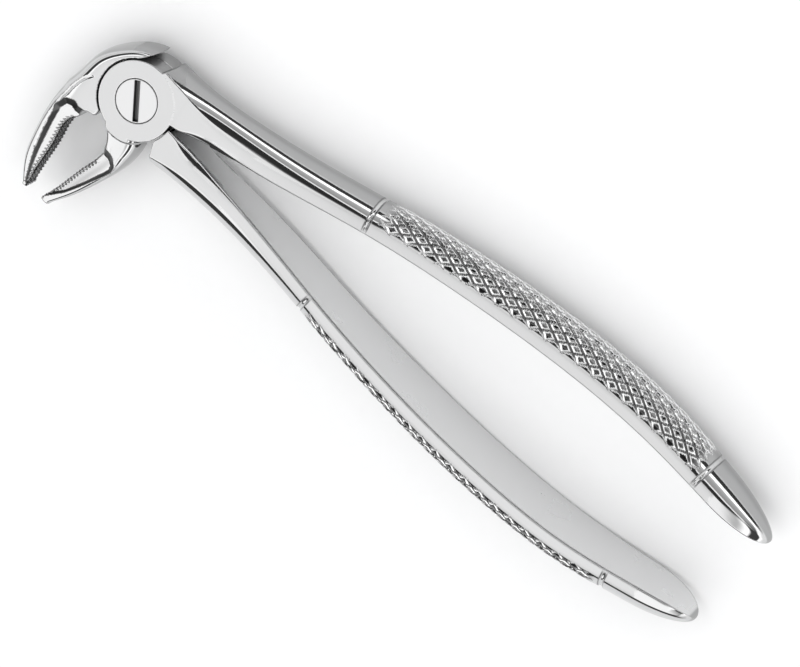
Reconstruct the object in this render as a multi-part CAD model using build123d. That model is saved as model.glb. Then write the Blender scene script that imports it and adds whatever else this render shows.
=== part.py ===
from build123d import *
import os
from math import cos, radians, sin

# Extraction forceps for lower teeth: two forged levers on one slotted screw.
# Origin: on the screw's axis, at the back face of the joint.
# +Z: along the screw towards its head.  +X: between the handles, towards their ends.
# +Y: the side of the handle that belongs to the front half.  The beaks point along -Y.
# The pose is the one at rest: beaks about 4 mm apart at their tips.  Millimetres.

# ---- joint ----
JOINT_THICKNESS = 9.6
MID = JOINT_THICKNESS / 2
DISC_RADIUS = 8.1
POCKET_CLEARANCE = 0.25
PLATE_GAP = 0.1
POCKET_RADIUS = DISC_RADIUS + POCKET_CLEARANCE

# ---- screw ----
HEAD_DIAMETER = 8.8
HEAD_THICKNESS = 2.2
SHANK_DIAMETER = 5.0
RUNNING_CLEARANCE = 0.05
SLOT_WIDTH = 1.15
SLOT_DEPTH = 1.1
SLOT_LENGTH = 8.2
SLOT_ANGLE = 120.8

# ---- handles ----
# Stations along X: distance from the axis, half of the gap between the handles, shift of the
# line midway between them, thickness, width (along Z), width of the flat front facet.
HANDLE_STATIONS = [
    (0.0, 0.3, 0.0, 9.6, 9.5, 8.4),
    (8.0, 0.4, 0.0, 9.2, 9.5, 7.0),
    (17.0, 1.9, 0.3, 7.9, 9.7, 3.9),
    (30.0, 4.3, 0.7, 6.9, 10.6, 2.6),
    (51.0, 8.7, 0.9, 6.6, 12.0, 2.4),
    (74.0, 12.2, 0.9, 7.0, 13.6, 2.4),
    (97.0, 14.0, 0.9, 7.2, 14.2, 2.4),
    (118.0, 13.6, 0.9, 7.0, 14.0, 2.4),
    (134.0, 11.3, 0.9, 6.4, 12.4, 2.2),
]
HANDLE_END_SECTIONS = [(0.0, 1.0), (0.35, 0.93), (0.7, 0.74), (0.92, 0.45), (1.0, 0.2)]
HANDLE_END_DRIFT = 3.0
FRONT_HANDLE_LENGTH = 147.6
REAR_HANDLE_LENGTH = 145.6
HANDLE_CANT = 6.0
CANT_STARTS_AT = 17.0
CANT_FULL_AT = 51.0

# ---- beaks ----
# Stations: inner point, outer point, height of the gripping face, greatest height.
LOWER_BEAK_STATIONS = [
    ((-3.4, -6.9), (4.6, -6.6), 9.2, 9.4),
    ((-0.9, -10.6), (5.3, -9.6), 8.2, 9.0),
    ((-0.3, -13.4), (5.0, -13.0), 4.6, 7.4),
    ((-2.1, -20.0), (2.5, -19.6), 4.3, 6.0),
    ((-4.0, -26.2), (-0.7, -26.0), 4.2, 5.4),
    ((-5.2, -29.9), (-4.0, -30.3), 3.6, 4.2),
]
UPPER_BEAK_STATIONS = [
    ((-7.2, -8.3), (-14.4, -8.0), 8.6, 9.3),
    ((-8.6, -12.2), (-14.5, -13.0), 4.8, 7.8),
    ((-9.3, -19.0), (-14.0, -20.0), 4.3, 6.2),
    ((-9.2, -25.6), (-12.6, -26.2), 4.2, 5.4),
    ((-9.0, -30.0), (-10.4, -30.4), 3.6, 4.2),
]
# The shoulder that carries the upper beak round the disc: stations by angle about the axis
# and outer radius, then the stations that turn from the disc towards the beak.
SHOULDER_RADII = [(97.0, 10.2), (125.0, 10.3), (150.0, 10.9), (175.0, 12.3), (196.0, 13.9)]
SHOULDER_INNER_RADIUS = 6.0
SHOULDER_GRIP = 9.2
SHOULDER_HEIGHT = 9.4
SHOULDER_TURN = [
    ((-5.4, -4.4), (-14.1, -6.4), 9.2, 9.4),
    ((-4.5, -8.5), (-14.4, -8.9), 9.0, 9.2),
]

# ---- upright stop walls, each a point and the direction of its line seen from the front ----
FRONT_STOP_POINT = (1.1, 7.9)
FRONT_STOP_ANGLE = 55.0
REAR_STOP_POINT = (7.2, -4.2)
REAR_STOP_ANGLE = 108.0
SHOULDER_STOP_POINT = (-3.5, 8.1)
SHOULDER_STOP_ANGLE = 230.0
SHOULDER_STOP_REACH = 12.0


def handle_section(x, edge, side, thickness, width, facet):
    """D-shaped section of a handle, with its front inner edge at Y = edge.

    The inner face is flat, and turned a little towards the front; the outer side is round.
    """
    half = width / 2
    cant = HANDLE_CANT * min(max((x - CANT_STARTS_AT) / (CANT_FULL_AT - CANT_STARTS_AT), 0), 1)
    middle = edge - side * half * sin(radians(cant))
    plane = Plane(origin=(x, middle, MID), x_dir=(0, side, 0), z_dir=(side, 0, 0))
    outline = Polyline((facet, -half), (0, -half), (0, half), (facet, half))
    crown = ThreePointArc((facet, half), (thickness, 0), (facet, -half))
    return plane * Rot(0, 0, -cant) * make_face(outline + crown)


def handle(side, length):
    """One handle, from inside the joint to its rounded end."""
    sections = []
    for x, gap, shift, thickness, width, facet in HANDLE_STATIONS:
        sections.append(handle_section(x, side * gap + shift, side, thickness, width, facet))
    x, gap, shift, thickness, width, facet = HANDLE_STATIONS[-1]
    end_sections = []
    for travel, scale in HANDLE_END_SECTIONS:
        end_x = x + (length - x) * travel
        edge = side * (gap - HANDLE_END_DRIFT * travel + thickness * (1 - scale) * 0.4) + shift
        end_sections.append(
            handle_section(end_x, edge, side, thickness * scale, width * scale, facet * scale)
        )
    return loft(sections) + loft(end_sections)


def beak_section(inner, outer, grip, height):
    """Section across a beak: flat gripping face, rounded outer side."""
    across = Vector(outer[0] - inner[0], outer[1] - inner[1], 0)
    width = across.length
    plane = Plane(
        origin=(inner[0], inner[1], MID),
        x_dir=across,
        z_dir=across.cross(Vector(0, 0, 1)),
    )
    face_line = Line((0, -grip / 2), (0, grip / 2))
    bulge = Spline(
        (0, grip / 2),
        (0.42 * width, height / 2),
        (width, 0),
        (0.42 * width, -height / 2),
        (0, -grip / 2),
    )
    return plane * make_face(face_line + bulge)


def beak(stations):
    return loft([beak_section(*station) for station in stations])


def shoulder_section(angle, radius):
    """Section through the shoulder in a plane that holds the screw's axis."""
    out = Vector(cos(radians(angle)), sin(radians(angle)), 0)
    inner = out * SHOULDER_INNER_RADIUS
    outer = out * radius
    return beak_section((inner.X, inner.Y), (outer.X, outer.Y), SHOULDER_GRIP, SHOULDER_HEIGHT)


def round_plate(radius, bottom, top):
    return Pos(0, 0, (bottom + top) / 2) * Cylinder(radius, top - bottom)


def keep_side(body, point, angle, reach=80):
    """Keep what lies to the right of a vertical cut through point at the given angle."""
    cutter = Pos(0, reach / 2, 0) * Box(reach, reach, 30)
    return body - Pos(point[0], point[1], MID) * Rot(0, 0, angle) * cutter


def make_screw():
    head = round_plate(HEAD_DIAMETER / 2, JOINT_THICKNESS - HEAD_THICKNESS, JOINT_THICKNESS)
    shank = round_plate(SHANK_DIAMETER / 2, 0, JOINT_THICKNESS - HEAD_THICKNESS)
    slot = Pos(0, 0, JOINT_THICKNESS) * Rot(0, 0, SLOT_ANGLE)
    slot = slot * Box(SLOT_LENGTH, SLOT_WIDTH, 2 * SLOT_DEPTH)
    return head + shank - slot


def make_front_half():
    """Front plate of the joint, the +Y handle and the beak nearer to the handles."""
    plate = round_plate(DISC_RADIUS, MID + PLATE_GAP / 2, JOINT_THICKNESS)
    lever = keep_side(handle(1, FRONT_HANDLE_LENGTH), FRONT_STOP_POINT, FRONT_STOP_ANGLE)
    pocket = round_plate(POCKET_RADIUS, -10, MID + PLATE_GAP / 2)
    body = plate + (lever - pocket) + (beak(LOWER_BEAK_STATIONS) - pocket)
    bore_radius = SHANK_DIAMETER / 2 + RUNNING_CLEARANCE
    body -= round_plate(bore_radius, -10, 20)
    head_radius = HEAD_DIAMETER / 2 + RUNNING_CLEARANCE
    return body - round_plate(head_radius, JOINT_THICKNESS - HEAD_THICKNESS - PLATE_GAP / 2, 20)


def make_rear_half():
    """Rear plate of the joint, the -Y handle, and the shoulder that carries the other beak."""
    plate = round_plate(DISC_RADIUS, 0, MID - PLATE_GAP / 2)
    lever = keep_side(handle(-1, REAR_HANDLE_LENGTH), REAR_STOP_POINT, REAR_STOP_ANGLE)
    sections = [shoulder_section(*station) for station in SHOULDER_RADII]
    sections += [beak_section(*station) for station in SHOULDER_TURN]
    shoulder = keep_side(
        loft(sections), SHOULDER_STOP_POINT, SHOULDER_STOP_ANGLE, SHOULDER_STOP_REACH
    )
    pocket = round_plate(POCKET_RADIUS, MID - PLATE_GAP / 2, 20)
    arm = (shoulder - pocket) + (beak(UPPER_BEAK_STATIONS) - pocket)
    body = plate + (lever - pocket) + arm
    return body - round_plate(SHANK_DIAMETER / 2, -10, 20)


os.makedirs("parts", exist_ok=True)
export_step(make_front_half(), "parts/front_half.step")
export_step(make_rear_half(), "parts/rear_half.step")
export_step(make_screw(), "parts/pivot_screw.step")
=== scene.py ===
import math

import bpy
import numpy as np
from mathutils import Matrix, Vector


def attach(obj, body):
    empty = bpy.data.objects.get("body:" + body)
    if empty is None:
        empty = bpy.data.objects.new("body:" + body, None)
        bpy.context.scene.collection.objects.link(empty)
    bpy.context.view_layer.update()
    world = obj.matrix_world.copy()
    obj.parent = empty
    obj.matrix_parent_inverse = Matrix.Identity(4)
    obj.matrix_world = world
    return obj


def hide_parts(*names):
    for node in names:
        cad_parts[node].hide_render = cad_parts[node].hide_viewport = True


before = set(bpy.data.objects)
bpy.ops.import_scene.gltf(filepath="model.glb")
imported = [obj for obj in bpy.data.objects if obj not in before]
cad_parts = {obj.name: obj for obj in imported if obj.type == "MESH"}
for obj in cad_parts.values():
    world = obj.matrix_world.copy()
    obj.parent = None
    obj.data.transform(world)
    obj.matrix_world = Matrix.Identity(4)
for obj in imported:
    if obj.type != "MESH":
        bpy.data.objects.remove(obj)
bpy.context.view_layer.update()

# Extraction forceps.  All shape numbers are millimetres in the CAD frame:
# Z along the screw towards its head, X between the handles, beaks along -Y.
MM = 0.001
GRID_SHIFT = 0.0137

# ---- how finely the pieces are divided; the handles are tubes of rings from TUBE_START ----
HEAD_STEP = 0.22
BEAK_STEP = 0.16
TUBE_START = 17.0
INNER_POINTS = 10
FACET_POINTS = 6
ARC_POINTS = 72
KNURL_STEP = 0.24

# ---- joint ----
TOP = 9.6
MID = 4.8
DISC_RADIUS = 8.1
POCKET_RADIUS = 8.4
HALF_PLATE_GAP = 0.05
HEAD_RADIUS = 4.4
HEAD_BOTTOM = 7.4
SHANK_TOP = 7.0
SHANK_RADIUS = 2.5
SLOT_ANGLE = math.radians(120.8)
SLOT_HALF_WIDTH = 0.575
SLOT_HALF_LENGTH = 4.1
SLOT_DEPTH = 1.1
# Upright stop walls: a point, and the direction of the wall seen from the front.
FRONT_STOP = ((1.1, 7.9), 55.0)
REAR_STOP = ((7.2, -4.2), 108.0)
SHOULDER_STOP = ((-3.5, 8.1), 230.0)
# From here outwards the levers rise above the joint's flat face, by this slope.
LEVER_RISE_FROM = 8.0
LEVER_RISE = 0.2

# ---- handles: X, half gap, shift, thickness, width, facet ----
HANDLE_STATIONS = np.array([
    (-6.0, 0.2, 0.0, 9.8, 9.6, 9.2),
    (0.0, 0.3, 0.0, 9.6, 9.6, 8.4),
    (8.0, 0.4, 0.0, 9.2, 9.6, 7.0),
    (17.0, 1.9, 0.3, 7.9, 9.8, 3.9),
    (30.0, 4.3, 0.7, 6.9, 10.7, 2.6),
    (51.0, 8.7, 0.9, 6.6, 12.0, 2.4),
    (74.0, 12.2, 0.9, 7.0, 13.6, 2.4),
    (97.0, 14.0, 0.9, 7.2, 14.2, 2.4),
    (118.0, 13.6, 0.9, 7.0, 14.0, 2.4),
    (134.0, 11.3, 0.9, 6.4, 12.4, 2.2),
    (150.0, 8.6, 0.9, 5.8, 10.8, 2.0),
])
END_START = 134.0
HANDLE_LENGTH = {1: 147.6, -1: 145.6}
CANT = math.radians(6.0)
CANT_RANGE = (17.0, 51.0)
RING_X = {1: (51.0, 129.8), -1: (50.0, 127.0)}
RING_DEPTH = 0.48
RING_HALF_WIDTH = 0.62
RING_SLOPES = (0.19, -0.14)
KNURL_PITCH = 1.9
KNURL_LEAN = math.radians(30.0)
KNURL_DEPTH = 0.38
KNURL_HALF_WIDTH = 0.52
KNURL_SWELL = 0.12

# ---- beaks: inner point, outer point, height at the inner side, greatest height,
#      height of the gripping face at the bottom of the scooped panels ----
LOWER_ARM = np.array([
    (-3.4, -6.9, 4.6, -6.6, 8.8, 9.0, 4.6),
    (-0.9, -10.6, 5.3, -9.6, 8.1, 8.8, 4.6),
    (-0.3, -13.4, 5.0, -13.0, 7.2, 8.8, 4.6),
    (-2.1, -20.0, 2.6, -19.8, 5.8, 7.2, 4.3),
    (-4.0, -26.2, -0.6, -26.0, 4.9, 5.8, 4.2),
    (-5.4, -29.9, -3.4, -30.2, 4.2, 4.7, 3.9),
])
UPPER_BEAK = [
    (-5.4, -4.4, -14.1, -6.4, 9.4, 9.6, 4.6),
    (-5.2, -8.3, -14.4, -8.6, 9.0, 9.4, 4.6),
    (-8.6, -12.2, -14.5, -13.0, 7.4, 8.6, 4.8),
    (-9.3, -19.0, -14.0, -20.0, 5.8, 7.2, 4.3),
    (-9.2, -25.6, -12.6, -26.2, 4.9, 5.8, 4.2),
    (-9.0, -30.0, -10.4, -30.2, 4.2, 4.7, 3.9),
]
SHOULDER_RADII = [(85, 10.35), (97, 10.35), (125, 10.4), (150, 10.9), (175, 12.3), (196, 13.9)]
SHOULDER_INNER_RADIUS = 6.0
# Steepness of the wall round the scooped panel at its root, on the front and the rear half,
# and along the teeth.
ROOT_STEEPNESS = {1: 0.95, -1: 0.9}
TIP_STEEPNESS = 1.25
# Power of the rounded outer side: higher is boxier.
OVAL = 2.6
OVAL_GAIN = 1.4
CREASE_DEPTH = 0.2
CREASE_REACH = 0.4
TOOTH_PITCH = 0.82
TOOTH_DEPTH = 0.5
TOOTH_SLANT = 0.9
NOTCH_DEPTH = 0.4
TOOTH_START = {1: 9.6, -1: 26.2}
# The front disc's flat face runs a little way out onto the beak, and ends in a fine step.
LAND_RADIUS = 9.15
LAND_STEP = 0.6
# Outline of the scooped panel on the front and back of each beak.
LOWER_PANEL = [
    (-2.0, -14.2), (-0.1, -14.3), (1.5, -14.5), (2.5, -15.1), (2.7, -16.0), (2.1, -17.4),
    (1.1, -19.4), (-0.4, -22.3), (-2.3, -25.6), (-4.2, -27.9), (-5.2, -28.9), (-6.8, -28.9),
    (-4.0, -20.0),
]
UPPER_PANEL = [
    (-6.5, -11.2), (-9.5, -10.9), (-10.3, -10.4), (-11.4, -10.7), (-12.0, -12.1), (-11.9, -15.3),
    (-11.5, -19.1), (-11.0, -22.8), (-10.4, -26.0), (-9.8, -28.6), (-9.5, -29.4), (-7.6, -29.4),
    (-7.4, -20.0),
]
# Fine crease that runs from the shoulder along the rim of the rear half's beak.
UPPER_CREASE = [
    (-9.9, -2.0), (-11.2, -3.6), (-12.2, -6.6), (-12.8, -10.1), (-12.9, -14.1), (-12.5, -19.1),
    (-12.0, -22.0),
]
# The open throat between the rear half's beak and the front disc.
UPPER_THROAT = [
    (-8.3, -12.4), (-8.15, -10.8), (-7.7, -9.3), (-7.0, -8.6), (-6.0, -8.4), (-4.0, -8.5),
    (1.0, -8.8), (1.0, -12.4),
]


def polar_station(angle, radius):
    c = math.cos(math.radians(angle))
    s = math.sin(math.radians(angle))
    inner = SHOULDER_INNER_RADIUS
    return (inner * c, inner * s, radius * c, radius * s, 9.5, 9.6, 4.6)


UPPER_ARM = np.array([polar_station(a, r) for a, r in SHOULDER_RADII] + UPPER_BEAK)


# ======================================================================= curves and blends
class Curve:
    """Natural cubic spline through rows of numbers."""

    def __init__(self, knots, rows):
        self.knots = np.asarray(knots, float)
        self.rows = np.asarray(rows, float)
        n = len(self.knots)
        step = np.diff(self.knots)
        matrix = np.eye(n)
        right = np.zeros_like(self.rows)
        for i in range(1, n - 1):
            matrix[i, i - 1:i + 2] = (step[i - 1], 2 * (step[i - 1] + step[i]), step[i])
            slope_after = (self.rows[i + 1] - self.rows[i]) / step[i]
            slope_before = (self.rows[i] - self.rows[i - 1]) / step[i - 1]
            right[i] = 6 * (slope_after - slope_before)
        self.bend = np.linalg.solve(matrix, right)

    def __call__(self, at):
        at = np.clip(at, self.knots[0], self.knots[-1])
        i = np.clip(np.searchsorted(self.knots, at) - 1, 0, len(self.knots) - 2)
        h = self.knots[i + 1] - self.knots[i]
        a = (self.knots[i + 1] - at) / h
        b = (at - self.knots[i]) / h
        result = []
        for column in range(self.rows.shape[1]):
            low = self.rows[i, column]
            high = self.rows[i + 1, column]
            bend_low = self.bend[i, column]
            bend_high = self.bend[i + 1, column]
            curve = ((a ** 3 - a) * bend_low + (b ** 3 - b) * bend_high) * h * h / 6
            result.append(a * low + b * high + curve)
        return result


def soft_max(a, b, radius):
    overlap = np.maximum(radius - np.abs(a - b), 0) / radius
    return np.maximum(a, b) + overlap * overlap * radius / 4


def ramp(value, low, high):
    t = np.clip((value - low) / (high - low), 0, 1)
    return t * t * (3 - 2 * t)


def cylinder(x, y, z, radius, bottom, top, edge=0.2):
    side = np.sqrt(x * x + y * y) - radius
    return soft_max(side, np.maximum(bottom - z, z - top), edge)


def right_of(x, y, point, degrees):
    """Below zero on the right-hand side of an upright cut seen from the front."""
    angle = math.radians(degrees)
    return -((x - point[0]) * math.sin(angle) - (y - point[1]) * math.cos(angle))


# ======================================================================= handles
HANDLE = Curve(HANDLE_STATIONS[:, 0], HANDLE_STATIONS[:, 1:])


def handle_frame(x, y, z, side):
    """Distances out from the inner face and along it, with the section's sizes there."""
    gap, shift, thickness, width, facet = HANDLE(x)
    length = HANDLE_LENGTH[side]
    travel = np.clip((x - END_START) / (length - END_START), 0, 1.2)
    scale = np.sqrt(np.clip(1 - travel * travel, 1e-4, 1))
    cant = CANT * ramp(x, *CANT_RANGE)
    half = width / 2
    middle = side * gap + shift - side * half * np.sin(cant)
    across = side * (y - middle)
    rise = z - MID
    u = across * np.cos(cant) - rise * np.sin(cant)
    v = across * np.sin(cant) + rise * np.cos(cant)
    center = 0.45 * thickness
    u = (u - center) / scale + center
    v = v / scale
    return u, v, thickness, half, facet, scale, travel


def ring_offset(x, u, side, number):
    return (x - RING_X[side][number]) + RING_SLOPES[number] * u


def knurl_cut(x, u, v, arc_center, arc_radius, side, facet, half):
    """Depth of the two families of slanting V-cuts on the grip."""
    around = np.arctan2(v, u - arc_center)
    limit = np.arctan2(half, facet - arc_center)
    arc = around * arc_radius
    room = (limit - np.abs(around)) * arc_radius
    along_in = ring_offset(x, u, side, 0)
    along_out = -ring_offset(x, u, side, 1)
    fade = ramp(room, -0.15, 1.3) * ramp(along_in, 1.2, 4.5) * ramp(along_out, 1.0, 3.5)
    cut = np.zeros(np.broadcast(x, arc).shape)
    for turn in (1, -1):
        phase = (x * math.sin(KNURL_LEAN) + turn * arc * math.cos(KNURL_LEAN)) / KNURL_PITCH
        away = np.abs(phase - np.round(phase)) * KNURL_PITCH
        slope = KNURL_DEPTH / KNURL_HALF_WIDTH
        one = np.maximum(KNURL_DEPTH * fade - slope * away, 0)
        cut = np.maximum(cut, one)
    return cut, fade


def handle_field(x, y, z, side):
    u, v, thickness, half, facet, scale, travel = handle_frame(x, y, z, side)
    arc_center = (thickness ** 2 - facet ** 2 - half ** 2) / (2 * (thickness - facet))
    arc_radius = thickness - arc_center
    crown = np.sqrt((u - arc_center) ** 2 + v * v) - arc_radius
    cut, fade = knurl_cut(x, u, v, arc_center, arc_radius, side, facet, half)
    crown = crown + cut - KNURL_SWELL * fade
    body = soft_max(crown, np.abs(v) - half, 0.22)
    for number in (0, 1):
        offset = ring_offset(x, u, side, number) / RING_HALF_WIDTH
        groove = np.clip(1 - np.abs(offset), 0, 1)
        body = body + RING_DEPTH * groove * ramp(u, 0.0, 2.0)
    body = soft_max(body, -u, 0.5)
    body = body * scale
    return np.where(travel > 1, np.maximum(body, (travel - 1) * 10), body)


# ======================================================================= beaks and shoulder
class Arm:
    """A limb swept through stations that are laid out flat, solved for any plan point."""

    SAMPLES = 220

    def __init__(self, stations):
        middle = (stations[:, 0:2] + stations[:, 2:4]) / 2
        travel = np.concatenate([[0], np.cumsum(np.linalg.norm(np.diff(middle, axis=0), axis=1))])
        self.length = travel[-1]
        self.curve = Curve(travel, stations)
        self.at = np.linspace(0, self.length, self.SAMPLES)
        self.lines = self.section(self.at)

    def section(self, at):
        ix, iy, ox, oy, side, height, grip = self.curve(at)
        dx = ox - ix
        dy = oy - iy
        width = np.sqrt(dx * dx + dy * dy)
        return ix, iy, dx / width, dy / width, width, side, height, grip

    @staticmethod
    def ahead(x, y, ix, iy, dx, dy):
        """How far a point lies ahead of a section line."""
        return (x - ix) * dy - (y - iy) * dx

    def solve(self, x, y):
        shape = np.broadcast(x, y).shape
        px = np.broadcast_to(x, shape).ravel()[:, None]
        py = np.broadcast_to(y, shape).ravel()[:, None]
        ix, iy, dx, dy, width = self.lines[:5]
        sign = self.direction
        ahead = sign * self.ahead(px, py, ix, iy, dx, dy)
        out = (px - ix) * dx + (py - iy) * dy
        near = (out > -4.0) & (out < width + 4.0)
        change = (ahead[:, :-1] >= 0) & (ahead[:, 1:] < 0) & near[:, :-1]
        found = change.any(axis=1)
        first = np.argmax(change, axis=1)
        rows = np.arange(len(first))
        before = ahead[rows, first]
        after = ahead[rows, first + 1]
        share = before / np.maximum(before - after, 1e-9)
        at = self.at[first] + share * (self.at[1] - self.at[0])
        tip = (ahead[:, -1] >= 0) & near[:, -1]
        at = np.where(found, at, np.where(tip, self.length, 0.0))
        beyond = np.where(found, 0.0, np.where(tip, ahead[:, -1], 30.0))
        px = px[:, 0]
        py = py[:, 0]
        for _ in range(2):
            ix, iy, dx, dy = self.section(at)[:4]
            miss = sign * self.ahead(px, py, ix, iy, dx, dy)
            ix2, iy2, dx2, dy2 = self.section(at + 0.01)[:4]
            miss2 = sign * self.ahead(px, py, ix2, iy2, dx2, dy2)
            rate = (miss2 - miss) / 0.01
            step = np.where(np.abs(rate) > 0.05, -miss / np.where(rate == 0, 1, rate), 0)
            at = np.where(found, np.clip(at + np.clip(step, -0.4, 0.4), 0, self.length), at)
        ix, iy, dx, dy, width, side, height, grip = self.section(at)
        out = (px - ix) * dx + (py - iy) * dy
        return [a.reshape(shape) for a in (at, out, width, side, height, grip, beyond)]


LOWER = Arm(LOWER_ARM)
UPPER = Arm(UPPER_ARM)


def heading(arm, station):
    """+1 or -1, so that the next station of the arm lies ahead of this one."""
    ix, iy, dx, dy = [v[station] for v in arm.lines[:4]]
    jx = arm.lines[0][station + 1]
    jy = arm.lines[1][station + 1]
    kx = jx + arm.lines[2][station + 1] * arm.lines[4][station + 1]
    ky = jy + arm.lines[3][station + 1] * arm.lines[4][station + 1]
    middle_x = (jx + kx) / 2
    middle_y = (jy + ky) / 2
    return 1 if Arm.ahead(middle_x, middle_y, ix, iy, dx, dy) > 0 else -1


LOWER.direction = heading(LOWER, 100)
UPPER.direction = heading(UPPER, 180)
# By side: 1 is the front half, with the lower beak, and -1 the rear half.
ARM = {1: LOWER, -1: UPPER}
PANEL = {1: LOWER_PANEL, -1: UPPER_PANEL}


def polygon_distance(x, y, points):
    """Signed distance to a closed outline in plan, below zero inside."""
    shape = np.broadcast(x, y).shape
    px = np.broadcast_to(x, shape)
    py = np.broadcast_to(y, shape)
    best = np.full(shape, 1e9)
    inside = np.zeros(shape, bool)
    count = len(points)
    for i in range(count):
        ax, ay = points[i]
        bx, by = points[(i + 1) % count]
        ex = bx - ax
        ey = by - ay
        t = np.clip(((px - ax) * ex + (py - ay) * ey) / (ex * ex + ey * ey), 0, 1)
        gap = (px - ax - t * ex) ** 2 + (py - ay - t * ey) ** 2
        best = np.minimum(best, gap)
        crosses = (ay > py) != (by > py)
        if by != ay:
            inside ^= crosses & (px < ax + (py - ay) * ex / ey)
    return np.where(inside, -1, 1) * np.sqrt(best)


def path_distance(x, y, points):
    best = np.full(np.broadcast(x, y).shape, 1e9)
    for (ax, ay), (bx, by) in zip(points[:-1], points[1:]):
        ex = bx - ax
        ey = by - ay
        t = np.clip(((x - ax) * ex + (y - ay) * ey) / (ex * ex + ey * ey), 0, 1)
        best = np.minimum(best, (x - ax - t * ex) ** 2 + (y - ay - t * ey) ** 2)
    return np.sqrt(best)


def teeth(at, rise):
    """Height of the cross-cut teeth on a gripping face, from 0 to 1."""
    one = (at + rise * TOOTH_SLANT) / TOOTH_PITCH
    two = (at - rise * TOOTH_SLANT) / TOOTH_PITCH
    return 2 * np.minimum(np.abs(one - np.round(one)), np.abs(two - np.round(two)))


def panel_height(x, y, at, out, grip, side):
    """Half height of the scooped panel and of the wall that rises round it."""
    edge = polygon_distance(x, y, PANEL[side])
    tooth_start = TOOTH_START[side]
    floor = grip / 2 + 0.03 * out + 0.035 * np.clip(out, 0, 3.6) ** 2
    valley = np.abs(at / TOOTH_PITCH - np.round(at / TOOTH_PITCH)) * 2
    toothed = ramp(at, tooth_start, tooth_start + 0.8)
    floor = floor - NOTCH_DEPTH * (1 - valley) * toothed * ramp(1.2 - out, 0, 0.9)
    root = ROOT_STEEPNESS[side]
    steepness = root + (TIP_STEEPNESS - root) * ramp(at, tooth_start - 1.5, tooth_start + 3.0)
    return floor + steepness * np.maximum(edge, 0), edge


def arm_field(x, y, z, side):
    """The arm of one half, as far as the tip of its beak."""
    at, out, width, inner, height, grip, beyond = ARM[side].solve(x, y)
    tooth_start = TOOTH_START[side]
    rise = np.abs(z - MID)
    crest = 0.42 * width
    top = inner / 2 + (height - inner) / 2 * np.sin(np.clip(out / crest, 0, 1) * math.pi / 2)
    outward = np.maximum(out - crest, 0) / (width - crest)
    level = rise / top
    power = OVAL + OVAL_GAIN * ramp(at, tooth_start - 4.0, tooth_start)
    oval = (outward ** power + level ** power + 1e-9) ** (1 / power)
    body = (oval - 1) * np.minimum(top, width - crest)
    if side == -1:
        line = np.clip(1 - path_distance(x, y, UPPER_CREASE) / CREASE_REACH, 0, 1)
        body = body + CREASE_DEPTH * line * (z > MID)
    scoop = panel_height(x, y, at, out, grip, side)[0]
    body = soft_max(body, (rise - scoop) * 0.6, 0.1)
    toothed = ramp(at, tooth_start, tooth_start + 0.8)
    bite = toothed * TOOTH_DEPTH * (1 - teeth(at, z - MID))
    body = soft_max(body, bite - out - 0.1 * toothed, 0.12 + 0.5 * (1 - toothed))
    return soft_max(body, beyond - 0.75, 0.5)


# ======================================================================= the two halves
def pocket_for_front(x, y, z):
    return cylinder(x, y, z, POCKET_RADIUS, -20, MID + HALF_PLATE_GAP, 0.05)


def pocket_for_rear(x, y, z):
    return cylinder(x, y, z, POCKET_RADIUS, MID - HALF_PLATE_GAP, 40, 0.05)


def front_head(x, y, z):
    radius = np.sqrt(x * x + y * y)
    plate = cylinder(x, y, z, DISC_RADIUS, MID + HALF_PLATE_GAP, TOP, 0.25)
    lever = soft_max(handle_field(x, y, z, 1), right_of(x, y, *FRONT_STOP), 0.2)
    lever = soft_max(lever, z - TOP - np.maximum(x - LEVER_RISE_FROM, 0) * LEVER_RISE, 0.15)
    raised = z - LAND_STEP * ramp(LAND_RADIUS - radius, 0, 0.5)
    beak = arm_field(x, y, raised, 1)
    beak = soft_max(beak, z - TOP, 0.12)
    limbs = np.minimum(lever, beak)
    limbs = soft_max(limbs, -pocket_for_front(x, y, z), 0.12)
    body = np.minimum(plate, limbs)
    body = soft_max(body, SHANK_RADIUS + 0.05 - radius, 0.05)
    bore = soft_max(radius - HEAD_RADIUS - 0.05, HEAD_BOTTOM - 0.05 - z, 0.05)
    return soft_max(body, -bore, 0.22)


def rear_head(x, y, z):
    radius = np.sqrt(x * x + y * y)
    plate = cylinder(x, y, z, DISC_RADIUS, 0, MID - HALF_PLATE_GAP, 0.3)
    lever = soft_max(handle_field(x, y, z, -1), right_of(x, y, *REAR_STOP), 0.2)
    lever = soft_max(lever, z - TOP - np.maximum(x - LEVER_RISE_FROM, 0) * LEVER_RISE, 0.15)
    arm = arm_field(x, y, z, -1)
    arm = soft_max(arm, z - TOP, 0.2)
    arm = soft_max(arm, -polygon_distance(x, y, UPPER_THROAT), 0.35)
    end = np.where(y > 4, right_of(x, y, *SHOULDER_STOP), -9.0)
    arm = soft_max(arm, end, 0.2)
    limbs = np.minimum(lever, arm)
    limbs = soft_max(limbs, -pocket_for_rear(x, y, z), 0.15)
    body = np.minimum(plate, limbs)
    return soft_max(body, SHANK_RADIUS + 0.02 - radius, 0.1)


def screw_field(x, y, z):
    radius = np.sqrt(x * x + y * y)
    head = soft_max(radius - HEAD_RADIUS, z - TOP + 0.02, 0.22)
    head = np.maximum(head, HEAD_BOTTOM - z)
    shank = soft_max(radius - SHANK_RADIUS, -z, 0.3)
    shank = np.maximum(shank, z - HEAD_BOTTOM - 0.3)
    body = np.minimum(head, shank)
    along = x * math.cos(SLOT_ANGLE) + y * math.sin(SLOT_ANGLE)
    across = -x * math.sin(SLOT_ANGLE) + y * math.cos(SLOT_ANGLE)
    slot = np.maximum(np.abs(across) - SLOT_HALF_WIDTH, np.abs(along) - SLOT_HALF_LENGTH)
    slot = np.maximum(slot, TOP - SLOT_DEPTH - z)
    return soft_max(body, -slot, 0.1)


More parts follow.
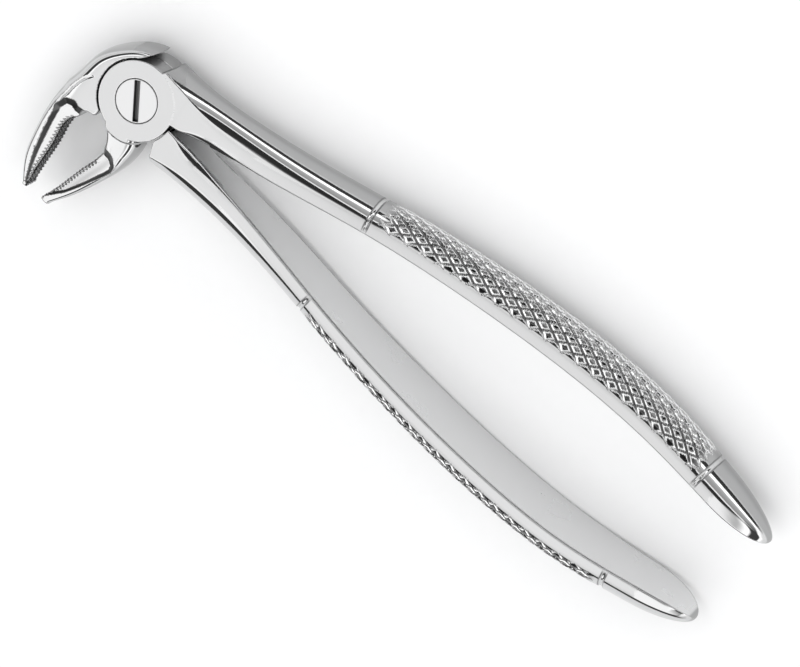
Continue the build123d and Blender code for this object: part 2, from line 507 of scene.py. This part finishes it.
# ======================================================================= meshing
def sample(field, xs, ys, zs, chunk=24):
    values = np.empty((len(xs), len(ys), len(zs)), np.float32)
    for a in range(0, len(xs), chunk):
        slab = xs[a:a + chunk, None, None]
        values[a:a + chunk] = field(slab, ys[None, :, None], zs[None, None, :])
    return values


def surface_net(values, xs, ys, zs):
    """One vertex in each cell that the surface crosses, one quad on each crossed edge."""
    axes = (xs, ys, zs)
    cells = tuple(n - 1 for n in values.shape)
    owners = []
    places = []
    quads = []
    for axis in range(3):
        low = [slice(None)] * 3
        high = [slice(None)] * 3
        low[axis] = slice(None, -1)
        high[axis] = slice(1, None)
        a = values[tuple(low)]
        b = values[tuple(high)]
        crossed = np.argwhere((a < 0) != (b < 0))
        second = (axis + 1) % 3
        third = (axis + 2) % 3
        kept = (crossed[:, second] > 0) & (crossed[:, third] > 0)
        kept &= (crossed[:, second] < cells[second]) & (crossed[:, third] < cells[third])
        crossed = crossed[kept]
        va = a[tuple(crossed.T)].astype(float)
        vb = b[tuple(crossed.T)].astype(float)
        share = va / (va - vb)
        place = np.stack([axes[n][crossed[:, n]] for n in range(3)], axis=1)
        place[:, axis] += share * (axes[axis][crossed[:, axis] + 1] - place[:, axis])
        corners = []
        for step_second, step_third in ((-1, -1), (0, -1), (0, 0), (-1, 0)):
            cell = crossed.copy()
            cell[:, second] += step_second
            cell[:, third] += step_third
            corners.append(np.ravel_multi_index(tuple(cell.T), cells))
        quad = np.stack(corners, axis=1)
        flip = va >= 0
        quad[flip] = quad[flip][:, ::-1]
        quads.append(quad)
        for corner in corners:
            owners.append(corner)
            places.append(place)
    owners = np.concatenate(owners)
    places = np.concatenate(places)
    quads = np.concatenate(quads)
    used, index = np.unique(owners, return_inverse=True)
    count = np.bincount(index)
    points = np.stack([np.bincount(index, places[:, n]) / count for n in range(3)], axis=1)
    return points, np.searchsorted(used, quads)


def slope(field, points, reach=0.012):
    result = np.empty_like(points)
    for n in range(3):
        forward = points.copy()
        backward = points.copy()
        forward[:, n] += reach
        backward[:, n] -= reach
        result[:, n] = (field(*forward.T) - field(*backward.T)) / (2 * reach)
    return result


def settle(field, points, rounds, limit):
    """Move vertices onto the surface, and give the surface's normals there."""
    for _ in range(rounds):
        value = field(*points.T)
        grade = slope(field, points)
        size = np.maximum((grade ** 2).sum(axis=1), 0.05)
        step = (value / size)[:, None] * grade
        length = np.linalg.norm(step, axis=1)
        step *= (np.minimum(length, limit) / np.maximum(length, 1e-9))[:, None]
        points = points - step
    grade = slope(field, points, 0.03)
    return points, grade / np.maximum(np.linalg.norm(grade, axis=1), 1e-9)[:, None]


def spaced(marks):
    """Grid lines: (start, step) pairs closed by a final end mark."""
    lines = []
    for (start, step), (end, _next) in zip(marks[:-1], marks[1:]):
        count = max(1, int(round((end - start) / step)))
        lines.append(np.linspace(start, end, count, endpoint=False))
    lines.append([marks[-1][0]])
    return np.concatenate(lines) + GRID_SHIFT


def build_mesh(name, points, normals, faces, layers):
    """A mesh from arrays of faces, each array with its own number of corners."""
    corners = np.concatenate([f.ravel() for f in faces]).astype(np.int32)
    sizes = np.concatenate([np.full(len(f), f.shape[1]) for f in faces])
    starts = np.concatenate([[0], np.cumsum(sizes)[:-1]]).astype(np.int32)
    mesh = bpy.data.meshes.new(name)
    mesh.vertices.add(len(points))
    mesh.vertices.foreach_set("co", (points * MM).astype(np.float32).ravel())
    mesh.loops.add(len(corners))
    mesh.loops.foreach_set("vertex_index", corners)
    mesh.polygons.add(len(starts))
    mesh.polygons.foreach_set("loop_start", starts)
    mesh.update(calc_edges=True)
    mesh.polygons.foreach_set("use_smooth", np.ones(len(starts), bool))
    for layer, values in layers.items():
        attribute_layer = mesh.attributes.new(layer, "FLOAT", "POINT")
        attribute_layer.data.foreach_set("value", values.astype(np.float32))
    mesh.validate()
    mesh.normals_split_custom_set_from_vertices(normals.astype(np.float32))
    piece = bpy.data.objects.new(name, mesh)
    bpy.context.collection.objects.link(piece)
    return piece


# ======================================================================= handle tube
def eased_line(start, end, count, edge):
    """Points from start up to, but not including, end, closer together at both ends."""
    share = np.linspace(0, 1, count, endpoint=False)
    eased = share - edge * np.sin(2 * math.pi * share) / (2 * math.pi)
    return start + (end - start) * eased


def section_outline(thickness, half, facet):
    """Outline of one handle section, as distances out from and along the inner face."""
    arc_center = (thickness ** 2 - facet ** 2 - half ** 2) / (2 * (thickness - facet))
    arc_radius = thickness - arc_center
    limit = math.atan2(half, facet - arc_center)
    inner_v = eased_line(-half, half, INNER_POINTS, 0.85)
    front_u = eased_line(0, facet, FACET_POINTS, 0.8)
    arc = eased_line(limit, -limit, ARC_POINTS, 0.25)
    back_u = eased_line(facet, 0, FACET_POINTS, 0.8)
    arc_u = arc_center + arc_radius * np.cos(arc)
    arc_v = arc_radius * np.sin(arc)
    u = np.concatenate([np.zeros(INNER_POINTS), front_u, arc_u, back_u])
    v = np.concatenate([inner_v, np.full(FACET_POINTS, half), arc_v, np.full(FACET_POINTS, -half)])
    return u, v


def handle_ring(x, side):
    gap, shift, thickness, width, facet = [float(n) for n in HANDLE(np.array(x))]
    length = HANDLE_LENGTH[side]
    travel = min(max((x - END_START) / (length - END_START), 0), 1)
    scale = math.sqrt(max(1 - travel * travel, 1e-4))
    cant = CANT * float(ramp(np.array(x), *CANT_RANGE))
    half = width / 2
    u, v = section_outline(thickness, half, facet)
    center = 0.45 * thickness
    u = (u - center) * scale + center
    v = v * scale
    across = u * math.cos(cant) + v * math.sin(cant)
    rise = -u * math.sin(cant) + v * math.cos(cant)
    y = side * gap + shift - side * half * math.sin(cant) + side * across
    ring = np.stack([np.full(len(y), x), y, MID + rise], axis=1)
    return ring if side == -1 else ring[::-1]


def handle_stops(side):
    """Where the rings of a handle lie: close together where there is detail."""
    first, second = RING_X[side]
    length = HANDLE_LENGTH[side]
    smooth = spaced([(TUBE_START, 0.6), (first - 2.2, 0.11), (first + 0.9, KNURL_STEP),
                     (second - 1.0, 0.11), (second + 1.9, 0.4), (END_START, 0)]) - GRID_SHIFT
    turn = np.linspace(0, math.pi / 2, 42)[1:]
    end = END_START + (length - 0.004 - END_START) * np.sin(turn)
    return np.concatenate([smooth, end])


def handle_tube(side):
    rings = [handle_ring(x, side) for x in handle_stops(side)]
    count = len(rings[0])
    points = np.concatenate(rings)
    first = (np.arange(len(rings) - 1) * count)[:, None]
    around = np.arange(count)[None, :]
    following = (around + 1) % count
    quads = np.stack([first + around, first + following,
                      first + count + following, first + count + around], axis=2)
    return points, quads.reshape(-1, 4), count


def open_edge(quads, allowed):
    """The closed loop of vertices along the one open edge of a mesh."""
    starts = quads.ravel()
    ends = np.roll(quads, -1, axis=1).ravel()
    size = int(quads.max()) + 1
    forward = starts.astype(np.int64) * size + ends
    backward = ends.astype(np.int64) * size + starts
    lone = ~np.isin(forward, backward) & allowed[starts] & allowed[ends]
    after = dict(zip(starts[lone].tolist(), ends[lone].tolist()))
    here = next(iter(after))
    loop = [here]
    while after[here] != loop[0]:
        here = after[here]
        loop.append(here)
    return np.array(loop)


def turned_up(loop, points, center):
    """The loop in rising order of its angle about a center line, with the angles."""
    angle = np.arctan2(points[loop, 2] - center[1], points[loop, 1] - center[0])
    order = np.argsort(angle)
    return loop[order], angle[order]


def zip_loops(near, near_angle, far, far_angle):
    """Triangles between two loops that lie round the same section."""
    faces = []
    i = 0
    j = 0
    near_angle = np.append(near_angle, near_angle[0] + 2 * math.pi)
    far_angle = np.append(far_angle, far_angle[0] + 2 * math.pi)
    while i < len(near) or j < len(far):
        this_near = near[i % len(near)]
        this_far = far[j % len(far)]
        if j >= len(far) or (i < len(near) and near_angle[i + 1] < far_angle[j + 1]):
            faces.append((this_near, near[(i + 1) % len(near)], this_far))
            i += 1
        else:
            faces.append((this_near, far[(j + 1) % len(far)], this_far))
            j += 1
    return np.array(faces)


# ======================================================================= surface finish, painted shade and painted highlight masks
# How much painted shade, a painted dark reflection on the flanks, a face gets by how many degrees
# its normal tilts away from +Z.
FLANK_SHADE_TILTS = (0, 56, 60, 76, 88, 104, 125)
FLANK_SHADE_TONES = (0, 0, 0.8, 0.8, 1.0, 1.0, 0)
# The Z of a normal over which a face turns from curved to flat.
FLAT = (0.965, 0.99)
BEAK_ROOT_Y = -9.6
KNURL_FROM_X = 45
GAP_SHADE_RADIUS = 8.22
# Share of the painted shade in the tooth valleys that the lower beak gets.
LOWER_TOOTH_SHADE_SHARE = 0.45


def plan_radius(x, y):
    return np.sqrt(x * x + y * y)


def band(value, center, reach, fade):
    """1 close to the center, and 0 from reach outwards."""
    return ramp(reach - np.abs(value - center), 0, fade)


def satin_mask(points, normals, side, u, v, half, facet):
    """The flat joint faces, the front facets of the handles and the stop walls."""
    x, y, z = points.T
    up = normals[:, 2]
    radius = plan_radius(x, y)
    on_joint = ramp(up, *FLAT) * (np.abs(z - TOP) < 0.25) * (y > BEAK_ROOT_Y) * (x < 40)
    if side == 1:
        on_joint = on_joint * np.where(y < -4, radius < LAND_RADIUS - 0.05, 1)
    on_facet = ramp(v, half - 0.25, half - 0.1) * ramp(facet + 0.1 - u, 0, 0.15) * (x > 15)
    on_back = ramp(-up, *FLAT) * (x < TUBE_START) * (y > BEAK_ROOT_Y)
    on_stop = band(up, 0, 0.6, 0.2) * (np.abs(x) < 6.5) * (y > 6.0) * ramp(10.9 - radius, 0, 0.6)
    return np.clip(on_joint + on_facet * (x < END_START) + on_back + on_stop, 0, 1)


def beak_masks(points, side):
    """Painted shade on the walls round the scooped panel, painted shadow dots beside the teeth,
    and painted shade in the valleys between the teeth.
    """
    x, y, z = points.T
    recess_shade = np.zeros(len(x))
    tooth_valley_shade = np.zeros(len(x))
    beak = (x < 8) & (y < -7)
    start = TOOTH_START[side]
    at, out, _width, _inner, _height, grip, _beyond = ARM[side].solve(x[beak], y[beak])
    scoop, edge = panel_height(x[beak], y[beak], at, out, grip, side)
    # Painted shade along the wall round the scooped panel, and painted shadow dots beside the
    # teeth on the rear half.
    wall = band(np.abs(z[beak] - MID), scoop, 0.12, 0.05) * ramp(edge, 0.0, 0.12)
    along = (at / TOOTH_PITCH - np.round(at / TOOTH_PITCH)) * TOOTH_PITCH
    dot = ramp(0.24 - np.hypot(along, out - 1.0), 0, 0.08) * ramp(at, start + 0.8, start + 1.6)
    recess_shade[beak] = np.maximum(wall, 0.8 * dot * (side == -1))
    # Painted shade in the valleys between the teeth on the gripping face.
    valley = 1 - teeth(at, z[beak] - MID)
    on_grip = ramp(0.5 - out, 0, 0.1) * ramp(at, start, start + 0.5)
    tooth_valley_shade[beak] = on_grip * ramp(valley, 0.3, 0.5)
    return recess_shade, tooth_valley_shade * (LOWER_TOOTH_SHADE_SHARE if side == 1 else 1.0)


def joint_shade(points, normals, side):
    """Painted shade: the dark line of the gap round the disc, the screw's bore and the land's
    step.
    """
    x, y, z = points.T
    radius = plan_radius(x, y)
    heading_angle = np.degrees(np.arctan2(y, x)) % 360
    enclosed = ramp(heading_angle, 108, 116) * (heading_angle < 245)
    on_gap = band(radius, GAP_SHADE_RADIUS, 0.3, 0.1) * band(normals[:, 2], 0, 0.6, 0.2)
    on_gap = on_gap * (z > MID) * (enclosed if side == 1 else 1.0)
    on_gap = on_gap * ramp(TOP - 0.08 - z, 0, 0.1)
    on_bore = band(radius, HEAD_RADIUS, 0.2, 0.1) * ramp(TOP - 0.1 - z, 0, 0.1)
    recess_shade = np.maximum(on_gap, on_bore)
    if side == 1:
        land = band(radius, LAND_RADIUS - 0.1, 0.2, 0.1) * (z > TOP - 1.0) * (y < -4)
        recess_shade = np.maximum(recess_shade, 0.55 * land * (x < 6))
    return recess_shade


def grip_masks(x, v, half, cut, fade):
    """Painted shade on the flats and cut bottoms of the knurled grip, darker towards larger v, and
    a painted highlight on the rims of its cuts.
    """
    depth = cut / KNURL_DEPTH
    fade = fade * (x > KNURL_FROM_X)
    rim_highlight = ramp(depth, 0.02, 0.1) * ramp(0.54 - depth, 0, 0.14) * fade
    low = ramp(v, 0.0, half * 0.7)
    flats = fade * (1 - rim_highlight) * (0.25 + 0.68 * low)
    bottoms = fade * ramp(depth, 0.52, 0.72) * (0.55 + 0.38 * low)
    return np.maximum(flats, bottoms), rim_highlight, fade


def half_layers(points, normals, side):
    """How the finish, the painted shade and the painted highlights vary over one half: a value
    from 0 to 1 for each vertex.
    """
    x, y, z = points.T
    u, v, thickness, half, facet = handle_frame(x, y, z, side)[:5]
    arc_center = (thickness ** 2 - facet ** 2 - half ** 2) / (2 * (thickness - facet))
    arc_radius = thickness - arc_center
    cut, fade = knurl_cut(x, u, v, arc_center, arc_radius, side, facet, half)
    on_inner = ramp(-side * normals[:, 1], 0.93, 0.98) * (x > 9) * (u < 0.6) * (side * y < 22)
    recess_shade, tooth_valley_shade = beak_masks(points, side)
    recess_shade = np.maximum(recess_shade, joint_shade(points, normals, side))
    knurl_shade, rim_highlight, fade = grip_masks(x, v, half, cut, fade)
    tilt = np.degrees(np.arccos(np.clip(normals[:, 2], -1, 1)))
    # Painted shade: a painted dark reflection on faces tilted far from +Z, weaker on the knurled
    # grip and left out of the ring grooves.
    flank_shade = np.interp(tilt, FLANK_SHADE_TILTS, FLANK_SHADE_TONES) * (1 - on_inner) * (1 - 0.65 * fade)
    for number in (0, 1):
        offset = np.abs(ring_offset(x, u, side, number))
        flank_shade = flank_shade * ramp(offset, 0.25, 0.4)
        # Painted shade: dark lines along both edges of each ring groove.
        line = band(offset, 0.52, 0.14, 0.06) * ramp(u, 0.3, 0.8)
        recess_shade = np.maximum(recess_shade, 0.75 * line)
    return {
        "satin": satin_mask(points, normals, side, u, v, half, facet),
        "inner": on_inner,
        "flank_shade": flank_shade,
        "knurl_shade": knurl_shade,
        "rim_highlight": rim_highlight,
        "recess_shade": recess_shade,
        "tooth_valley_shade": tooth_valley_shade,
    }


# ======================================================================= materials
def material_nodes(name):
    material = bpy.data.materials.new(name)
    material.use_nodes = True
    nodes = material.node_tree.nodes
    nodes.clear()
    output = nodes.new("ShaderNodeOutputMaterial")
    shader = nodes.new("ShaderNodeBsdfPrincipled")
    material.node_tree.links.new(shader.outputs["BSDF"], output.inputs["Surface"])
    return material, nodes, material.node_tree.links, shader


def new_math(nodes, links, operation, a, b=None, c=None, clamp=False):
    node = nodes.new("ShaderNodeMath")
    node.operation = operation
    node.use_clamp = clamp
    for socket, value in zip(node.inputs, (a, b, c)):
        if value is None:
            continue
        if isinstance(value, (int, float)):
            socket.default_value = value
        else:
            links.new(value, socket)
    return node.outputs[0]


def attribute(nodes, name):
    node = nodes.new("ShaderNodeAttribute")
    node.attribute_name = name
    return node.outputs["Fac"]


def noise(nodes, links, vector, scale, detail=3.0, stretch=None, rotation=None):
    if stretch is not None:
        mapping = nodes.new("ShaderNodeMapping")
        mapping.inputs["Scale"].default_value = stretch
        if rotation is not None:
            mapping.inputs["Rotation"].default_value = rotation
        links.new(vector, mapping.inputs["Vector"])
        vector = mapping.outputs["Vector"]
    node = nodes.new("ShaderNodeTexNoise")
    node.inputs["Scale"].default_value = scale
    node.inputs["Detail"].default_value = detail
    links.new(vector, node.inputs["Vector"])
    return node.outputs["Fac"]


def mix_color(nodes, links, factor, a, b):
    node = nodes.new("ShaderNodeMix")
    node.data_type = "RGBA"
    links.new(factor, node.inputs["Factor"])
    for socket, value in ((node.inputs[6], a), (node.inputs[7], b)):
        if isinstance(value, tuple):
            socket.default_value = value
        else:
            links.new(value, socket)
    return node.outputs[2]


# Tone of the bare steel, and the tone that each mask mixes in over it, in this order.
# The satin and inner-face tones are finishes of the steel; the tones for the flanks, the knurled
# grip, recesses and tooth valleys are painted shade, and the tone for the rims of the knurling
# cuts is a painted highlight.
BARE = 0.62
SCREW_TONE = 0.66
MASK_TONES = {
    "satin": 0.61,
    "flank_shade": 0.34,
    "knurl_shade": 0.08,
    "rim_highlight": 0.92,
    "inner": 0.72,
    "recess_shade": 0.14,
    "tooth_valley_shade": 0.04,
}
# Roughness of the polish, how far smudges vary it, and what each mask and the screw add.
POLISH_ROUGHNESS = 0.035
SMUDGE_ROUGHNESS = 0.05
MASK_ROUGHNESS = {"satin": 0.36, "inner": 0.22, "recess_shade": 0.25, "tooth_valley_shade": 0.06}
SCREW_ROUGHNESS = 0.30


def grey(value):
    return (value, value * 1.002, value * 1.006, 1.0)


def steel_material(name, has_masks):
    """Forged stainless steel: mirror polish, with satin where the masks say so, and shade and
    highlights painted in by the other masks.
    """
    material, nodes, links, shader = material_nodes(name)
    place = nodes.new("ShaderNodeTexCoord").outputs["Object"]
    smudge = noise(nodes, links, place, 70.0, 4.0)
    fine = noise(nodes, links, place, 900.0, 2.0)
    brushed = noise(nodes, links, place, 260.0, 3.0, (0.12, 2.2, 1.0), (0, 0, 0.5))
    shader.inputs["Metallic"].default_value = 1.0
    rough = new_math(nodes, links, "MULTIPLY_ADD", smudge, SMUDGE_ROUGHNESS, POLISH_ROUGHNESS)
    if has_masks:
        masks = {mask: attribute(nodes, mask) for mask in MASK_TONES}
        color = grey(BARE)
        for mask, tone in MASK_TONES.items():
            color = mix_color(nodes, links, masks[mask], color, grey(tone))
        for mask, added in MASK_ROUGHNESS.items():
            rough = new_math(nodes, links, "MULTIPLY_ADD", masks[mask], added, rough)
        grain = new_math(nodes, links, "MULTIPLY", masks["satin"], brushed)
    else:
        recess_shade = attribute(nodes, "recess_shade")
        color = mix_color(nodes, links, recess_shade, grey(SCREW_TONE), grey(MASK_TONES["recess_shade"]))
        rough = new_math(nodes, links, "ADD", rough, SCREW_ROUGHNESS)
        grain = brushed
    links.new(color, shader.inputs["Base Color"])
    links.new(rough, shader.inputs["Roughness"])
    height = new_math(nodes, links, "MULTIPLY_ADD", grain, 0.6, fine)
    bump = nodes.new("ShaderNodeBump")
    bump.inputs["Strength"].default_value = 0.12
    bump.inputs["Distance"].default_value = 0.00003
    links.new(height, bump.inputs["Height"])
    links.new(bump.outputs["Normal"], shader.inputs["Normal"])
    return material


def floor_material():
    material, nodes, links, shader = material_nodes("floor_paper")
    place = nodes.new("ShaderNodeTexCoord").outputs["Object"]
    grain = noise(nodes, links, place, 400.0, 3.0)
    color = mix_color(nodes, links, grain, grey(0.93), grey(0.95))
    links.new(color, shader.inputs["Base Color"])
    rough = new_math(nodes, links, "MULTIPLY_ADD", grain, 0.1, 0.7)
    links.new(rough, shader.inputs["Roughness"])
    shader.inputs["Specular IOR Level"].default_value = 0.1
    bump = nodes.new("ShaderNodeBump")
    bump.inputs["Strength"].default_value = 0.03
    bump.inputs["Distance"].default_value = 0.00005
    links.new(grain, bump.inputs["Height"])
    links.new(bump.outputs["Normal"], shader.inputs["Normal"])
    return material


# ======================================================================= pieces
def head_grid(side):
    xs = spaced([(-15.4, HEAD_STEP), (12.0, 0.3), (TUBE_START - 0.2, 0)])
    if side == 1:
        ys = spaced([(-32.5, BEAK_STEP), (-13.0, HEAD_STEP), (11.5, 0)])
    else:
        ys = spaced([(-32.5, BEAK_STEP), (-10.5, HEAD_STEP), (12.0, 0)])
    zs = spaced([(-0.4, HEAD_STEP), (10.2, 0)])
    return xs, ys, zs


def make_half(name, side, steel):
    """One lever: its head from a surface net, its handle from rings, zipped together."""
    head_field = front_head if side == 1 else rear_head
    xs, ys, zs = head_grid(side)
    points, quads = surface_net(sample(head_field, xs, ys, zs), xs, ys, zs)
    points, normals = settle(head_field, points, 3, 0.12)

    def tube_field(x, y, z):
        return handle_field(x, y, z, side)

    tube, tube_quads, count = handle_tube(side)
    tube, tube_normals = settle(tube_field, tube, 4, 0.1)
    shift = len(points)
    tube_quads = tube_quads + shift
    near = open_edge(quads, points[:, 0] > TUBE_START - 1.5)
    ring = np.arange(count) + shift
    last = np.arange(shift + len(tube) - count, shift + len(tube))
    everything = np.concatenate([points, tube])
    directions = np.concatenate([normals, tube_normals])
    center = everything[ring, 1:].mean(axis=0)
    near, near_angle = turned_up(near, everything, center)
    far, far_angle = turned_up(ring, everything, center)
    seam = zip_loops(near, near_angle, far, far_angle)
    faces = [np.concatenate([quads, tube_quads]), seam, last[None, :]]
    layers = half_layers(everything, directions, side)
    piece = build_mesh(name, everything, directions, faces, layers)
    piece.data.materials.append(steel)
    return piece


def make_screw(name, steel):
    across = spaced([(-4.8, 0.13), (4.8, 0)])
    up = spaced([(-0.3, 0.4), (7.0, 0.13), (9.9, 0)])
    values = sample(screw_field, across, across, up)
    points, quads = surface_net(values, across, across, up)
    points, normals = settle(screw_field, points, 3, 0.08)
    x, y, z = points.T
    in_slot = np.abs(-x * math.sin(SLOT_ANGLE) + y * math.cos(SLOT_ANGLE)) < 0.62
    # Painted shade in the slot and round the side of the head, above the shank.
    dark = ramp(TOP - 0.06 - z, 0, 0.12) * np.where(in_slot | (x * x + y * y > 18.0), 1.0, 0.0)
    piece = build_mesh(name, points, normals, [quads], {"recess_shade": dark * (z > SHANK_TOP)})
    piece.data.materials.append(steel)
    return piece


def make_forceps():
    polished = steel_material("forged_steel_polished", True)
    satin = steel_material("screw_steel_satin", False)
    front = make_half("front_half_steel", 1, polished)
    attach(front, "front")
    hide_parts("front_half")
    rear = make_half("rear_half_steel", -1, polished)
    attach(rear, "rear")
    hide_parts("rear_half")
    screw = make_screw("pivot_screw_steel", satin)
    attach(screw, "rear")
    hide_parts("pivot_screw")
    return front, rear, screw


# ======================================================================= studio
CAMERA_PLACE = Vector((191.235, 400.372, 865.320))
CAMERA_RIGHT = Vector((0.76118, 0.53780, -0.36245))
CAMERA_UP = Vector((-0.63554, 0.72990, -0.25167))
CAMERA_BACK = Vector((0.12920, 0.42192, 0.89738))
CAMERA_LENS = 225.0
SENSOR_WIDTH = 36.0
FLOOR_REACH = 3.0
FLOOR_CLEARANCE = 0.00002
KEY_PLACE = (0.18, 0.40, 1.2)
KEY_WIDTH = 1.6
KEY_DEPTH = 1.3
KEY_POWER = 5.8
SKY_STRENGTH = 1.22
# How sharply the sky turns from its bands across the handles to those along them.
SKY_TURN = (3.0, -1.3)


def make_camera():
    camera = bpy.data.objects.new("camera", bpy.data.cameras.new("camera"))
    camera.data.sensor_width = SENSOR_WIDTH
    camera.data.lens = CAMERA_LENS
    camera.data.clip_start = 0.05
    camera.data.clip_end = 20.0
    turn = Matrix((CAMERA_RIGHT, CAMERA_UP, CAMERA_BACK)).transposed().to_4x4()
    camera.matrix_world = Matrix.Translation(CAMERA_PLACE * MM) @ turn
    bpy.context.collection.objects.link(camera)
    bpy.context.scene.camera = camera


def make_floor(level):
    mesh = bpy.data.meshes.new("floor")
    reach = FLOOR_REACH
    corners = [
        (-reach, -reach, level),
        (reach, -reach, level),
        (reach, reach, level),
        (-reach, reach, level),
    ]
    mesh.from_pydata(corners, [], [(0, 1, 2, 3)])
    floor = bpy.data.objects.new("floor", mesh)
    bpy.context.collection.objects.link(floor)
    mesh.materials.append(floor_material())


def add_area(name, place, size_x, size_y, power, look_at=(0.05, 0, 0)):
    light = bpy.data.lights.new(name, "AREA")
    light.shape = "RECTANGLE"
    light.size = size_x
    light.size_y = size_y
    light.energy = power
    lamp = bpy.data.objects.new(name, light)
    lamp.location = place
    aim = Vector(look_at) - Vector(place)
    lamp.rotation_euler = aim.to_track_quat("-Z", "Y").to_euler()
    lamp.visible_glossy = False
    bpy.context.collection.objects.link(lamp)
    return lamp


def brightness_ramp(nodes, links, value, stops):
    node = nodes.new("ShaderNodeValToRGB")
    node.color_ramp.interpolation = "EASE"
    elements = node.color_ramp.elements
    while len(elements) > 1:
        elements.remove(elements[-1])
    elements[0].position = stops[0][0]
    elements[0].color = (stops[0][1],) * 3 + (1,)
    for position, level in stops[1:]:
        element = elements.new(position)
        element.color = (level,) * 3 + (1,)
    links.new(value, node.inputs["Fac"])
    return node.outputs["Color"]


# Brightness of the studio by angle from overhead, in degrees, towards +Y and towards +X.
SKY_ACROSS = (
    (-180, 1.0), (-94, 1.0), (-90, 0.05), (-64, 0.04), (-60, 1.2), (-45, 1.2), (0, 1.1), (8, 1.05),
    (14, 0.95), (16, 0.04), (44, 0.03), (45, 1.3), (47, 1.3), (48.5, 0.35), (60, 0.45), (67, 0.6),
    (69, 1.9), (76, 1.9), (77.5, 0.05), (91, 0.05), (95, 1.0), (180, 1.0),
)
SKY_ALONG = (
    (-180, 1.0), (-95, 1.0), (-88, 0.7), (-76, 0.9), (-72, 0.06), (-54, 0.04), (-50, 1.5),
    (-44, 1.4), (-30, 0.6), (-12, 1.1), (12, 1.1), (30, 0.6), (42, 1.4), (46, 1.4), (49, 0.06),
    (66, 0.06), (70, 1.5), (84, 0.9), (95, 1.0), (180, 1.0),
)


def world_stops(nodes, links, angle, table):
    share = new_math(nodes, links, "MULTIPLY_ADD", angle, 1 / (2 * math.pi), 0.5)
    stops = [(degrees / 360 + 0.5, level) for degrees, level in table]
    return brightness_ramp(nodes, links, share, stops)


def make_world():
    world = bpy.data.worlds.new("studio")
    world.use_nodes = True
    nodes = world.node_tree.nodes
    links = world.node_tree.links
    nodes.clear()
    output = nodes.new("ShaderNodeOutputWorld")
    background = nodes.new("ShaderNodeBackground")
    links.new(background.outputs["Background"], output.inputs["Surface"])
    direction = nodes.new("ShaderNodeTexCoord").outputs["Generated"]
    split = nodes.new("ShaderNodeSeparateXYZ")
    links.new(direction, split.inputs["Vector"])
    toward_y = new_math(nodes, links, "ARCTAN2", split.outputs["Y"], split.outputs["Z"])
    toward_x = new_math(nodes, links, "ARCTAN2", split.outputs["X"], split.outputs["Z"])
    along = world_stops(nodes, links, toward_y, SKY_ACROSS)
    aside = world_stops(nodes, links, toward_x, SKY_ALONG)
    flat = new_math(nodes, links, "MULTIPLY", split.outputs["Z"], split.outputs["Z"])
    level = new_math(nodes, links, "SUBTRACT", 1.0001, flat)
    share = new_math(nodes, links, "MULTIPLY", split.outputs["X"], split.outputs["X"])
    share = new_math(nodes, links, "DIVIDE", share, level)
    share = new_math(nodes, links, "MULTIPLY_ADD", share, *SKY_TURN, clamp=True)
    color = mix_color(nodes, links, share, along, aside)
    links.new(color, background.inputs["Color"])
    background.inputs["Strength"].default_value = SKY_STRENGTH
    bpy.context.scene.world = world


def make_studio(level):
    make_floor(level)
    make_camera()
    make_world()
    add_area("key", KEY_PLACE, KEY_WIDTH, KEY_DEPTH, KEY_POWER)
    bpy.context.scene.view_settings.view_transform = "Standard"


front, rear, screw = make_forceps()
lowest = min(min((o.matrix_world @ v.co).z for v in o.data.vertices) for o in (front, rear))
make_studio(lowest - FLOOR_CLEARANCE)
